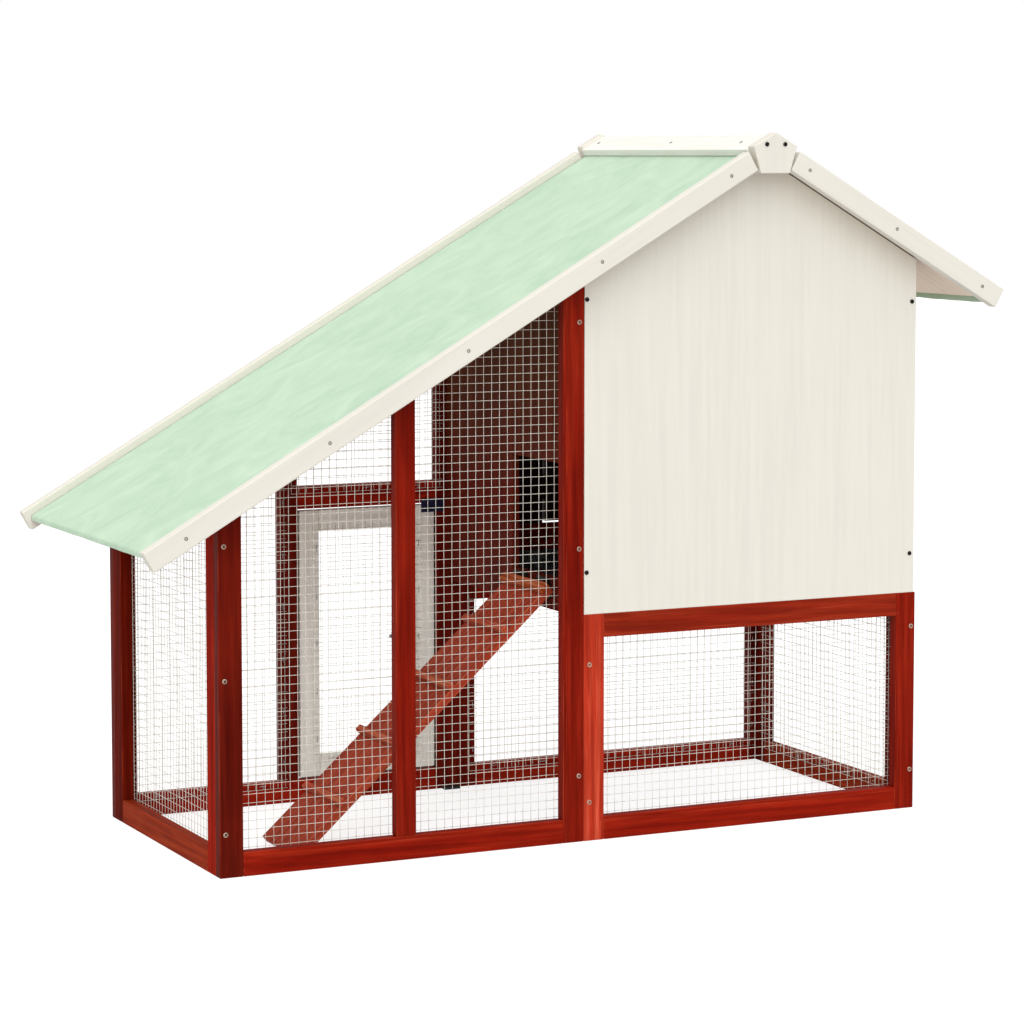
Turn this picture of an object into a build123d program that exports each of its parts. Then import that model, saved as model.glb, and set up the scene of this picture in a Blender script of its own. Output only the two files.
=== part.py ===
from build123d import *
import os
from math import cos, radians, sin, tan

# Rabbit hutch: a low mesh run on the left, a raised house on the right, and
# one ridged roof over both. Millimetres. +X runs from the low end of the run
# to the house, +Y points to the side with the doors, +Z is up. The origin is
# on the ground, under the middle of the roof.

# ---- driving dimensions ----
ROOF_LENGTH = 1400.0
ROOF_DEPTH = 580.0
APEX_Z = 1045.0
RIDGE_X = 290.0
SLOPE_DEG = 30.0

RUN_END_X = -573.0
HOUSE_END_X = 573.0
BODY_DEPTH = 472.0

STICK_T = 18.0
CORNER_W = 35.5
MIDDLE_W = 31.0
SEAM_W = 34.0
END_W = 32.0
RAIL_H = 35.0
TOP_RAIL_H = 15.0
LOWER_TOP_RAIL_H = 35.5
LOWER_H = 339.0
HOUSE_STILE_W = 34.0
HOUSE_END_STILE_W = 34.0
LOWER_OVERHANG = 3.5
MIDDLE_LEFT_X = -302.0
EDGE_R = 1.5
BEAD_OFFSET = 5.0
BEAD_W = 1.6

PLY_T = 9.0
PANEL_GAP = 2.5
PARTITION_T = 12.0
PARTITION_X = -16.0
POST_W = 18.0

BARGE_H = 32.0
BARGE_SETBACK = 2.0
BARGE_END_GAP = 7.0
PLANK_W = 45.0
PLANK_T = 11.0
FELT_T = 1.5
ROOF_PANEL_T = 9.0
EAVE_SETBACK = 10.0
BLOCK_HALF_W = 37.0
BLOCK_FOOT_HALF_W = 24.5
BLOCK_RISE = 3.0
BLOCK_SHOULDER_DROP = 20.5
BLOCK_H = 60.5
BLOCK_T = 20.0
BEAM_HALF_W = 14.0
BEAM_H = 34.0

MESH_PITCH = 12.7
WIRE = 1.0
MESH_LAP = 11.0

HEAD_RAIL_Z = 463.0
DOOR_GAP = 3.0
DOOR_MEMBER_W = 33.0
DOOR_T = 17.5
STOP_PLATE_W = 39.0
STOP_PLATE_H = 22.0
STOP_PLATE_T = 2.5

HOUSE_DOOR_X = (160.0, 416.0)
HOUSE_DOOR_Z = (419.5, 740.0)
HOUSE_DOOR_T = 12.0

ENTRANCE_Y = (-206.0, -26.0)
ENTRANCE_Z = (386.0, 560.0)

RAMP_Y = (-172.0, -36.0)
RAMP_T = 12.0
RAMP_DEG = 42.0
RAMP_TOP_Z = 378.0
RAMP_HEAD_X = -23.0
RAMP_HEAD_TRIM = 4.0
RAMP_PIN_RISE = 5.6
CLEAT_W = 11.0
CLEAT_H = 9.0
CLEAT_OVERHANG = 4.0
CLEAT_SHARES = (0.18, 0.393, 0.606, 0.819)
HEAD_CLEAT_W = 16.0
RAMP_HINGE_W = 30.0
RAMP_HINGE_INSET = 14.0
RAMP_EYE_W = 8.0
STRAP_REACH = 18.0
STRAP_T = 1.5

TRAY_H = 28.0
TRAY_T = 1.2
TRAY_FRONT_H = 79.0
TRAY_SIDE_GAP = 5.0
KNOB_R = 10.0
KNOB_NECK_R = 5.0
KNOB_L = 9.0

HINGE_LEAF_W = 17.0
HINGE_LEAF_H = 42.0
HINGE_LEAF_T = 1.5
HINGE_PIN_R = 1.6
HINGE_KNUCKLE_R = 3.2
HINGE_CLEARANCE = 0.08
HINGE_GAP = 0.3
RUN_HINGE_INSET = 60.0
HOUSE_HINGE_INSET = 55.0

BOLT_ROD_R = 3.0
BOLT_ROD_L = 66.0
BOLT_CLEARANCE = 0.08
BOLT_PLATE_L = 62.0
BOLT_PLATE_H = 26.0
BOLT_PLATE_T = 1.5
BOLT_AXIS_RISE = 5.7
BOLT_LOOP_W = 6.0
BOLT_LOOP_H = 11.0
KEEPER_W = 15.0

SCREW_HEAD_R = 3.6
ROOF_SCREW_HEAD_R = 2.7
SCREW_HEAD_T = 0.8
SCREW_R = 1.6
FRAME_SCREW_L = 14.0
ROOF_SCREW_L = 15.0
PLANK_SCREW_L = 9.0
PANEL_BOLT_HEAD_R = 3.3
PANEL_BOLT_HEAD_T = 2.6
PANEL_BOLT_R = 2.0
PANEL_BOLT_L = 20.0
BLOCK_BOLT_L = 18.0

# ---- fasteners: distance from a stick's edge, or X, and heights ----
CORNER_SCREWS = (9.0, (62.0, 280.0, 470.0))
SEAM_SCREWS = (8.0, (99.0, 437.0, 771.0))
LOWER_LEFT_SCREWS = (9.5, (58.0, 264.0))
LOWER_RIGHT_SCREWS = (7.0, (61.0, 286.0))
LONG_BARGE_SCREW_X = -638.0
LONG_BARGE_SCREW_PITCH = 213.5
LONG_BARGE_SCREWS = 5
SHORT_BARGE_SCREWS_X = (350.0, 504.0, 659.0)
PLANK_SCREWS_Y = (-220.0, 0.0, 245.0)
LEFT_BOLTS = (4.0, (401.5, 804.0))
RIGHT_BOLTS = (8.0, (400.0, 790.0))
FRONT_BOLT_LOW_Z = 436.0
BLOCK_BOLT_X = 15.5
BLOCK_BOLT_DROP = 17.5

FOOT_L = 28.0
FOOT_W = 12.0
FOOT_H = 5.0
FOOT_GAP = 3.0

# ---- derived dimensions ----
RISE = tan(radians(SLOPE_DEG))
SECANT = 1.0 / cos(radians(SLOPE_DEG))
HALF_BODY = BODY_DEPTH / 2
HALF_ROOF = ROOF_DEPTH / 2
INNER_Y = HALF_BODY - STICK_T
FELT_TOP = PLANK_T
PANEL_TOP = FELT_TOP + FELT_T
ROOF_UNDER = PANEL_TOP + ROOF_PANEL_T
TOP_RAIL_UNDER = ROOF_UNDER + TOP_RAIL_H
BARGE_Y = HALF_ROOF - BLOCK_T
SEAM_X = 0.0
LOWER_END_X = HOUSE_END_X + LOWER_OVERHANG
MIDDLE_RIGHT_X = MIDDLE_LEFT_X + MIDDLE_W
SEAM_LEFT_X = SEAM_X - SEAM_W
CORNER_RIGHT_X = RUN_END_X + CORNER_W


def roof_z(x, depth):
    """Height of the line that lies depth below the roof's top line, square to it."""
    return APEX_Z - abs(x - RIDGE_X) * RISE - depth * SECANT


def box(x0, x1, y0, y1, z0, z1):
    """Solid box between two corners."""
    size = (x1 - x0, y1 - y0, z1 - z0)
    middle = ((x0 + x1) / 2, (y0 + y1) / 2, (z0 + z1) / 2)
    return Pos(*middle) * Box(*size)


def rod(radius, start, direction, length):
    """Round bar from start along direction."""
    plane = Plane(origin=start, z_dir=direction)
    return Solid.make_cylinder(radius, length, plane)


def plate_xz(points, y0, y1):
    """Flat plate with an outline in X and Z, between two Y faces."""
    face = Face(Wire.make_polygon([Vector(x, y0, z) for x, z in points]))
    return Solid.extrude(face, Vector(0, y1 - y0, 0))


def group(*solids):
    """Several separate solids in one node."""
    return Compound(children=list(solids))


def eased(solid, radius=EDGE_R):
    """The same piece with all its edges planed round."""
    return solid.fillet(radius, solid.edges())


def write(node, shape):
    shape.label = node
    export_step(shape, f"parts/{node}.step")


# ---- frame sticks ----
def bead_groove(x0, x1, y_face, outward, z0, z1, along_z):
    """Shallow V groove beside a stick's edge, cut from its outer face."""
    d = BEAD_W / 2
    y_in = y_face - outward * d
    if along_z:
        middle = (x0 + x1) / 2
        corners = [(middle - d, y_face), (middle + d, y_face), (middle, y_in)]
        face = Face(Wire.make_polygon([Vector(x, y, z0) for x, y in corners]))
        return Solid.extrude(face, Vector(0, 0, z1 - z0))
    middle = (z0 + z1) / 2
    corners = [(y_face, middle - d), (y_face, middle + d), (y_in, middle)]
    face = Face(Wire.make_polygon([Vector(x0, y, z) for y, z in corners]))
    return Solid.extrude(face, Vector(x1 - x0, 0, 0))


def stile(x0, x1, side, z1, bead_side=0, z0=0.0):
    """Upright of a front or rear frame; its top follows the roof if z1 is None."""
    y_out = side * HALF_BODY
    y_in = side * INNER_Y
    y0 = min(y_out, y_in)
    y1 = max(y_out, y_in)
    if z1 is None:
        under = ROOF_UNDER
        points = [(x0, z0), (x1, z0), (x1, roof_z(x1, under)), (x0, roof_z(x0, under))]
        solid = plate_xz(points, y0, y1)
        top = roof_z(x0, under)
    else:
        solid = box(x0, x1, y0, y1, z0, z1)
        top = z1
    solid = eased(solid)
    if bead_side:
        edge = x1 if bead_side > 0 else x0
        line = edge - bead_side * BEAD_OFFSET
        solid = solid - bead_groove(line, line, y_out, side, z0 + 1, top - 1, True)
    return solid


def bead_loop(x0, x1, z0, z1, side):
    """Grooves round an opening, each a little outside one of its edges."""
    y_out = side * HALF_BODY
    d = BEAD_W / 2
    x0 -= BEAD_OFFSET
    x1 += BEAD_OFFSET
    z0 -= BEAD_OFFSET
    z1 += BEAD_OFFSET
    upright = [bead_groove(x, x, y_out, side, z0 - d, z1 + d, True) for x in (x0, x1)]
    level = [bead_groove(x0 - d, x1 + d, y_out, side, z, z, False) for z in (z0, z1)]
    return upright + level


def rail(x0, x1, side, z0, z1, bead_side=0):
    """Level bar of a front or rear frame."""
    y_out = side * HALF_BODY
    y_in = side * INNER_Y
    solid = eased(box(x0, x1, min(y_out, y_in), max(y_out, y_in), z0, z1))
    if bead_side:
        edge = z1 if bead_side > 0 else z0
        line = edge - bead_side * BEAD_OFFSET
        solid = solid - bead_groove(x0 + 1, x1 - 1, y_out, side, line, line, False)
    return solid


def sloped_rail(x0, x1, side):
    """Bar that closes a run frame along the underside of the roof."""
    upper = ROOF_UNDER
    lower = TOP_RAIL_UNDER
    points = [
        (x0, roof_z(x0, lower)),
        (x1, roof_z(x1, lower)),
        (x1, roof_z(x1, upper)),
        (x0, roof_z(x0, upper)),
    ]
    y0 = min(side * HALF_BODY, side * INNER_Y)
    return eased(plate_xz(points, y0, y0 + STICK_T), 1.0)


def corner_stile(side):
    return stile(RUN_END_X, CORNER_RIGHT_X, side, None)


def middle_stile(side):
    return stile(MIDDLE_LEFT_X, MIDDLE_RIGHT_X, side, None, 0, RAIL_H)


def seam_stile(side):
    return stile(SEAM_LEFT_X, SEAM_X, side, None, -1)


def run_rails(side):
    """Bottom rail under the middle stile, and two top rails on the slope."""
    bottom = rail(CORNER_RIGHT_X, SEAM_LEFT_X, side, 0.0, RAIL_H, 1)
    low = sloped_rail(CORNER_RIGHT_X, MIDDLE_LEFT_X, side)
    high = sloped_rail(MIDDLE_RIGHT_X, SEAM_LEFT_X, side)
    return [bottom, low, high]


def lower_opening():
    """Opening of the frame under the house."""
    return HOUSE_STILE_W, LOWER_END_X - HOUSE_END_STILE_W, RAIL_H, LOWER_H - LOWER_TOP_RAIL_H


def beaded(sticks, side):
    """Sticks of a lower frame, with the groove round the opening cut across them."""
    for groove in bead_loop(*lower_opening(), side):
        sticks = [stick - groove for stick in sticks]
    return group(*sticks)


def lower_stiles(side):
    x0, x1, _, _ = lower_opening()
    return beaded([stile(SEAM_X, x0, side, LOWER_H), stile(x1, LOWER_END_X, side, LOWER_H)], side)


def lower_rails(side):
    x0, x1, z0, z1 = lower_opening()
    return beaded([rail(x0, x1, side, 0.0, z0), rail(x0, x1, side, z1, LOWER_H)], side)


def end_stick(x0, y0, y1, z0, z1):
    """Bar of an end frame, between the front and rear frames."""
    return eased(box(x0, x0 + STICK_T, y0, y1, z0, z1))


def end_stiles(x0, top):
    rear = end_stick(x0, -INNER_Y, -INNER_Y + END_W, 0.0, top)
    front = end_stick(x0, INNER_Y - END_W, INNER_Y, 0.0, top)
    return group(rear, front)


def end_rails(x0, top, top_h):
    inner = INNER_Y - END_W
    bottom = end_stick(x0, -inner, inner, 0.0, RAIL_H)
    upper = end_stick(x0, -inner, inner, top - top_h, top)
    return group(bottom, upper)


# ---- welded wire mesh ----
def wire_layer(outline, across, place):
    """One layer of parallel wires joined by border wires, as a plate with slots.

    outline gives u0, u1, v0 and a function v1(u). Wires run along v when
    across is False, and along u when it is True.
    """
    u0, u1, v0, v_top = outline
    border = WIRE
    top_left = v_top(u0)
    top_right = v_top(u1)
    outer = [(u0, v0), (u1, v0), (u1, top_right), (u0, top_left)]
    slots = []
    if across:
        count = int((max(top_left, top_right) - v0) / MESH_PITCH)
        for row in range(count + 1):
            low = v0 + row * MESH_PITCH + WIRE
            high = low + MESH_PITCH - WIRE
            slots += row_slot(u0 + border, u1 - border, low, high, v_top)
    else:
        count = int((u1 - u0) / MESH_PITCH)
        for column in range(count + 1):
            left = u0 + column * MESH_PITCH + WIRE
            right = min(left + MESH_PITCH - WIRE, u1 - border)
            if right - left > WIRE:
                top = (v_top(left) - 2 * border, v_top(right) - 2 * border)
                base = v0 + border
                slots.append([(left, base), (right, base), (right, top[1]), (left, top[0])])
    outer_wire = Wire.make_polygon([place(u, v) for u, v in outer])
    inner_wires = [Wire.make_polygon([place(u, v) for u, v in slot]) for slot in slots]
    return Face(outer_wire, inner_wires)


def row_slot(left, right, low, high, v_top):
    """Slot between two level wires, cut short where the top edge slopes into it."""
    gap = 2 * WIRE
    top_left = v_top(left) - gap
    top_right = v_top(right) - gap
    slope = (top_right - top_left) / (right - left)
    high = min(high, max(top_left, top_right))
    if high - low < WIRE:
        return []
    if low < top_left:
        bottom_start = left
    else:
        bottom_start = left + (low - top_left) / slope
    if right - bottom_start < 2 * WIRE:
        return []
    points = [(bottom_start, low), (right, low), (right, high)]
    if high < top_left:
        points.append((left, high))
    else:
        top_start = left + (high - top_left) / slope if slope else left
        if right - top_start < WIRE:
            points[2] = (right, top_right)
        else:
            points.append((top_start, high))
        if bottom_start == left and top_left - low > 0.1:
            points.append((left, top_left))
    return [points]


def mesh_xz(x0, x1, z0, z_top, y_face, inward):
    """Mesh panel lying on the inner face of a front or rear frame."""
    layers = []
    for index, across in enumerate((False, True)):
        y = y_face + inward * index * WIRE
        face = wire_layer((x0, x1, z0, z_top), across, lambda u, v: Vector(u, y, v))
        layers.append(Solid.extrude(face, Vector(0, inward * WIRE, 0)))
    return group(*layers)


def mesh_yz(y0, y1, z0, z1, x_face, inward):
    """Mesh panel lying on the inner face of an end frame."""
    layers = []
    for index, across in enumerate((False, True)):
        x = x_face + inward * index * WIRE
        outline = (y0, y1, z0, lambda u: z1)
        face = wire_layer(outline, across, lambda u, v: Vector(x, u, v))
        layers.append(Solid.extrude(face, Vector(inward * WIRE, 0, 0)))
    return group(*layers)


def under_top_rail(x):
    """Upper edge of a run panel, lapped onto the sloped rail."""
    return roof_z(x, TOP_RAIL_UNDER) + MESH_LAP


def run_mesh(x0, x1, z0, side):
    return mesh_xz(x0 - MESH_LAP, x1 + MESH_LAP, z0, under_top_rail, side * INNER_Y, -side)


def lower_mesh(side):
    x0, x1, z0, z1 = lower_opening()
    lap = MESH_LAP
    return mesh_xz(x0 - lap, x1 + lap, z0 - lap, lambda x: z1 + lap, side * INNER_Y, -side)


def end_mesh(x_face, inward, top):
    reach = INNER_Y - END_W + MESH_LAP
    return mesh_yz(-reach, reach, RAIL_H - MESH_LAP, top + MESH_LAP, x_face, inward)


# ---- house ----
def gable_points(x0, x1, z0, gap=0.0):
    """Outline of a gable wall, which may stay short of the right slope by a gap."""
    under = ROOF_UNDER
    return [
        (x0, z0),
        (x1, z0),
        (x1, roof_z(x1, under) - gap),
        (RIDGE_X, roof_z(RIDGE_X, under) - gap),
        (x0, roof_z(x0, under)),
    ]


def rear_wall_panel():
    points = gable_points(SEAM_X + 0.5, HOUSE_END_X, LOWER_H, PANEL_GAP)
    return plate_xz(points, -HALF_BODY, -HALF_BODY + PLY_T)


def front_wall_boards():
    """Two side boards beside the house door, and the gable board above it."""
    y0 = HALF_BODY - PLY_T
    door_x0, door_x1 = HOUSE_DOOR_X
    door_z0, door_z1 = HOUSE_DOOR_Z
    left = box(SEAM_X + 0.5, door_x0, y0, HALF_BODY, door_z0, door_z1)
    right = box(door_x1, HOUSE_END_X, y0, HALF_BODY, door_z0, door_z1)
    gable = plate_xz(gable_points(SEAM_X + 0.5, HOUSE_END_X, door_z1), y0, HALF_BODY)
    return group(left, right, gable)


def right_wall_panel():
    reach = HALF_BODY - PLY_T - POST_W
    top = roof_z(HOUSE_END_X, ROOF_UNDER)
    return box(HOUSE_END_X - PLY_T, HOUSE_END_X, -reach, reach, LOWER_H, top)


def house_corner_posts():
    """Square posts that the house walls are bolted to."""
    posts = []
    for x0 in (SEAM_X, HOUSE_END_X - POST_W):
        for side in (-1, 1):
            y_out = side * (HALF_BODY - PLY_T)
            y_in = side * (HALF_BODY - PLY_T - POST_W)
            base = LOWER_H + PLY_T
            points = [
                (x0, base),
                (x0 + POST_W, base),
                (x0 + POST_W, roof_z(x0 + POST_W, ROOF_UNDER)),
                (x0, roof_z(x0, ROOF_UNDER)),
            ]
            posts.append(plate_xz(points, min(y_out, y_in), max(y_out, y_in)))
    return group(*posts)


def partition_boards():
    """Wall between run and house: boards around the rabbit's entrance."""
    x0 = PARTITION_X
    x1 = PARTITION_X + PARTITION_T
    low_y, high_y = ENTRANCE_Y
    low_z, high_z = ENTRANCE_Z
    top = roof_z(x0, ROOF_UNDER) - 1
    rear = box(x0, x1, -INNER_Y, low_y, LOWER_H, high_z)
    front = box(x0, x1, high_y, INNER_Y, LOWER_H, high_z)
    sill = box(x0, x1, low_y, high_y, LOWER_H, low_z)
    head = box(x0, x1, -INNER_Y, INNER_Y, high_z, top)
    return group(rear, front, sill, head)


def house_floor():
    """Floor that lies on the lower frames."""
    edge = HALF_BODY - PLY_T - 0.5
    return box(SEAM_X + 0.5, HOUSE_END_X - PLY_T, -edge, edge, LOWER_H, LOWER_H + PLY_T)


def tray_pan():
    """Folded sheet tray that slides out under the doors of the house."""
    gap = TRAY_SIDE_GAP
    x0 = SEAM_X + POST_W + gap
    x1 = HOUSE_END_X - POST_W - gap
    y0 = -HALF_BODY + PLY_T + POST_W + gap
    y1 = HALF_BODY - PLY_T + 0.5
    z0 = LOWER_H + PLY_T + 0.5
    outer = box(x0, x1, y0, y1, z0, z0 + TRAY_H)
    t = TRAY_T
    return outer - box(x0 + t, x1 - t, y0 + t, y1 - t, z0 + t, z0 + TRAY_H + 1)


def tray_front():
    """Wooden front of the tray, with a turned knob."""
    y0 = HALF_BODY - PLY_T + 0.5
    z0 = LOWER_H + 1.0
    front = eased(box(SEAM_X + 1, HOUSE_END_X - 1, y0, HALF_BODY, z0, z0 + TRAY_FRONT_H))
    x = (SEAM_X + HOUSE_END_X) / 2
    z = z0 + TRAY_FRONT_H / 2
    neck = rod(KNOB_NECK_R, (x, HALF_BODY, z), (0, 1, 0), KNOB_L)
    head = rod(KNOB_R, (x, HALF_BODY + KNOB_L, z), (0, 1, 0), KNOB_L)
    return group(front, eased(head, 3.0) + neck)


# ---- roof ----
def slope_slab(x_eave, x_top, upper, lower, y0, y1):
    """Slab of one roof slope, with a plumb joint at the ridge side."""
    side = 1 if x_eave > RIDGE_X else -1
    shift = (lower - upper) * sin(radians(SLOPE_DEG))
    x_low = x_eave - side * shift
    points = [
        (x_eave, roof_z(x_eave, upper)),
        (x_top, roof_z(x_top, upper)),
        (x_top, roof_z(x_top, lower)),
        (x_low, roof_z(x_low, lower)),
    ]
    return plate_xz(points, y0, y1)


def eave_x(side, depth):
    """X of a square-cut eave, depth below the roof's top line."""
    end = side * ROOF_LENGTH / 2
    return end - side * (depth * sin(radians(SLOPE_DEG)) + EAVE_SETBACK)


def roof_panel(side):
    reach = BARGE_Y
    return slope_slab(eave_x(side, PANEL_TOP), RIDGE_X, PANEL_TOP, ROOF_UNDER, -reach, reach)


def roof_felt(side):
    reach = BARGE_Y
    return slope_slab(eave_x(side, FELT_TOP), RIDGE_X, FELT_TOP, PANEL_TOP, -reach, reach)


def barge_board(side, end_side):
    """Board that closes a gable edge of one slope, cut square at both ends."""
    face_y = HALF_ROOF - BARGE_SETBACK
    y0 = min(end_side * BARGE_Y, end_side * face_y)
    y1 = max(end_side * BARGE_Y, end_side * face_y)
    x_tip = side * ROOF_LENGTH / 2
    x_tail = x_tip - side * BARGE_H * sin(radians(SLOPE_DEG))
    x_top = RIDGE_X + side * (BLOCK_HALF_W + BARGE_END_GAP)
    x_heel = x_top - side * BARGE_H * sin(radians(SLOPE_DEG))
    points = [
        (x_tip, roof_z(x_tip, 0)),
        (x_top, roof_z(x_top, 0)),
        (x_heel, roof_z(x_heel, BARGE_H)),
        (x_tail, roof_z(x_tail, BARGE_H)),
    ]
    return eased(plate_xz(points, y0, y1), 2.0)


def barge_boards():
    return group(*[barge_board(side, end_side) for end_side in (-1, 1) for side in (-1, 1)])


def ridge_beam():
    """Beam under the ridge that the end blocks are bolted to."""
    half = BEAM_HALF_W
    top = roof_z(RIDGE_X + half, ROOF_UNDER)
    reach = HALF_BODY - PLY_T
    peak = roof_z(RIDGE_X, ROOF_UNDER)
    points = [
        (RIDGE_X - half, top - BEAM_H),
        (RIDGE_X + half, top - BEAM_H),
        (RIDGE_X + half, top),
        (RIDGE_X, peak),
        (RIDGE_X - half, top),
    ]
    return plate_xz(points, -reach, reach)


def ridge_cap_planks():
    """Two narrow planks over the ridge joint of the felt."""
    planks = []
    for side in (-1, 1):
        run = PLANK_W * cos(radians(SLOPE_DEG))
        lean = PLANK_T * sin(radians(SLOPE_DEG))
        x_edge = RIDGE_X + side * run
        points = [
            (RIDGE_X, roof_z(RIDGE_X, 0)),
            (x_edge, roof_z(x_edge, 0)),
            (x_edge - side * lean, roof_z(x_edge - side * lean, PLANK_T)),
            (RIDGE_X, roof_z(RIDGE_X, PLANK_T)),
        ]
        planks.append(eased(plate_xz(points, -BARGE_Y, BARGE_Y), 1.0))
    return group(*planks)


def ridge_end_blocks():
    """House-shaped blocks that close the ridge between the barge boards."""
    blocks = []
    peak = APEX_Z + BLOCK_RISE
    shoulder = peak - BLOCK_SHOULDER_DROP
    foot = peak - BLOCK_H
    points = [
        (RIDGE_X - BLOCK_FOOT_HALF_W, foot),
        (RIDGE_X + BLOCK_FOOT_HALF_W, foot),
        (RIDGE_X + BLOCK_HALF_W, shoulder),
        (RIDGE_X, peak),
        (RIDGE_X - BLOCK_HALF_W, shoulder),
    ]
    for end_side in (-1, 1):
        y0 = min(end_side * BARGE_Y, end_side * HALF_ROOF)
        blocks.append(eased(plate_xz(points, y0, y0 + BLOCK_T)))
    return group(*blocks)


# ---- run door ----
def run_door_limits():
    x0 = MIDDLE_RIGHT_X + DOOR_GAP
    x1 = SEAM_LEFT_X - DOOR_GAP
    return x0, x1, RAIL_H + DOOR_GAP, HEAD_RAIL_Z - DOOR_GAP


def run_door_frame():
    """Two stiles and two rails of the mesh door."""
    x0, x1, z0, z1 = run_door_limits()
    y0 = HALF_BODY - DOOR_T
    w = DOOR_MEMBER_W
    left = eased(box(x0, x0 + w, y0, HALF_BODY, z0, z1))
    right = eased(box(x1 - w, x1, y0, HALF_BODY, z0, z1))
    bottom = eased(box(x0 + w, x1 - w, y0, HALF_BODY, z0, z0 + w))
    top = eased(box(x0 + w, x1 - w, y0, HALF_BODY, z1 - w, z1))
    return group(left, right, bottom, top)


def run_door_mesh():
    x0, x1, z0, z1 = run_door_limits()
    inset = DOOR_MEMBER_W - MESH_LAP
    y = HALF_BODY - DOOR_T
    return mesh_xz(x0 + inset, x1 - inset, z0 + inset, lambda x: z1 - inset, y, -1)


def door_stop_plate():
    """Small plastic plate inside the frame that the door closes against."""
    x1 = SEAM_LEFT_X + STOP_PLATE_W / 3
    z0 = HEAD_RAIL_Z - STOP_PLATE_H * 2 / 3
    y0 = INNER_Y - STOP_PLATE_T
    return box(x1 - STOP_PLATE_W, x1, y0, INNER_Y, z0, z0 + STOP_PLATE_H)


# ---- house door ----
def house_door_limits():
    g = DOOR_GAP
    return HOUSE_DOOR_X[0] + g, HOUSE_DOOR_X[1] - g, HOUSE_DOOR_Z[0] + g, HOUSE_DOOR_Z[1] - g


def house_door_panel():
    x0, x1, z0, z1 = house_door_limits()
    return eased(box(x0, x1, HALF_BODY - HOUSE_DOOR_T, HALF_BODY, z0, z1))


# ---- butt hinges ----
def hinge_axis_y():
    return HALF_BODY + HINGE_KNUCKLE_R + HINGE_GAP


def knuckle(x, z0, z1):
    """Rolled eye of a hinge leaf."""
    return rod(HINGE_KNUCKLE_R, (x, hinge_axis_y(), z0), (0, 0, 1), z1 - z0)


def leaf_plate(x, direction, z0, z1):
    x_far = x + direction * (HINGE_LEAF_W + DOOR_GAP / 2)
    y1 = HALF_BODY + HINGE_LEAF_T
    return box(min(x, x_far), max(x, x_far), HALF_BODY, y1, z0, z1)


def fixed_leaf(x, z):
    """Leaf on the frame: two eyes that hold the pin."""
    half = HINGE_LEAF_H / 2
    third = HINGE_LEAF_H / 3
    solid = box(
        x - HINGE_LEAF_W - DOOR_GAP / 2,
        x - HINGE_KNUCKLE_R - HINGE_GAP,
        HALF_BODY,
        HALF_BODY + HINGE_LEAF_T,
        z - half,
        z + half,
    )
    for z0 in (z - half, z + half - third + HINGE_GAP):
        z1 = z0 + third - HINGE_GAP
        solid = solid + leaf_plate(x, -1, z0, z1) + knuckle(x, z0, z1)
    return solid + rod(HINGE_PIN_R, (x, hinge_axis_y(), z - half), (0, 0, 1), 2 * half)


def moving_leaf(x, z):
    """Leaf on the door: one eye that turns on the pin."""
    half = HINGE_LEAF_H / 2
    z0 = z - HINGE_LEAF_H / 6 + HINGE_GAP
    z1 = z + HINGE_LEAF_H / 6 - HINGE_GAP
    plate = box(
        x + HINGE_KNUCKLE_R + HINGE_GAP,
        x + DOOR_GAP / 2 + HINGE_LEAF_W,
        HALF_BODY,
        HALF_BODY + HINGE_LEAF_T,
        z - half,
        z + half,
    )
    bore = HINGE_PIN_R + HINGE_CLEARANCE
    strap = leaf_plate(x, 1, z0, z1) + knuckle(x, z0, z1)
    strap = strap - rod(bore, (x, hinge_axis_y(), z0 - 1), (0, 0, 1), z1 - z0 + 2)
    return plate + strap


def hinge_places():
    """Axis X and heights of the two doors' hinges."""
    run_x = MIDDLE_RIGHT_X + DOOR_GAP / 2
    house_x = HOUSE_DOOR_X[0] + DOOR_GAP / 2
    _, _, run_z0, run_z1 = run_door_limits()
    _, _, house_z0, house_z1 = house_door_limits()
    run = [(run_x, run_z0 + RUN_HINGE_INSET), (run_x, run_z1 - RUN_HINGE_INSET)]
    house = [(house_x, house_z0 + HOUSE_HINGE_INSET), (house_x, house_z1 - HOUSE_HINGE_INSET)]
    return run, house


def hinge_post_leaves():
    run, house = hinge_places()
    return group(*[fixed_leaf(x, z) for x, z in run + house])


def run_door_hinge_leaves():
    return group(*[moving_leaf(x, z) for x, z in hinge_places()[0]])


def house_door_hinge_leaves():
    return group(*[moving_leaf(x, z) for x, z in hinge_places()[1]])


# ---- barrel bolts ----
def bolt_axis_y():
    return HALF_BODY + BOLT_AXIS_RISE


def bolt_base(x0, x1, z):
    """Flat plate that a bolt's or a keeper's straps stand on."""
    half = BOLT_PLATE_H / 2
    return box(x0, x1, HALF_BODY, HALF_BODY + BOLT_PLATE_T, z - half, z + half)


def bolt_loop(x, z, clearance):
    """Strap that the rod slides through."""
    y0 = HALF_BODY + BOLT_PLATE_T
    y1 = bolt_axis_y() + BOLT_ROD_R + BOLT_PLATE_T
    half = BOLT_LOOP_H / 2
    body = box(x, x + BOLT_LOOP_W, y0, y1, z - half, z + half)
    hole = rod(BOLT_ROD_R + clearance, (x - 1, bolt_axis_y(), z), (1, 0, 0), BOLT_LOOP_W + 2)
    return body - hole


def bolt_plate(x_edge, z):
    """Back plate with two straps, screwed to the free edge of a door."""
    x1 = x_edge - 3.0
    x0 = x1 - BOLT_PLATE_L
    plate = bolt_base(x0, x1, z)
    for x in (x0 + 2.0, x1 - 2.0 - BOLT_LOOP_W):
        plate = plate + bolt_loop(x, z, BOLT_CLEARANCE)
    return plate


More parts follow.
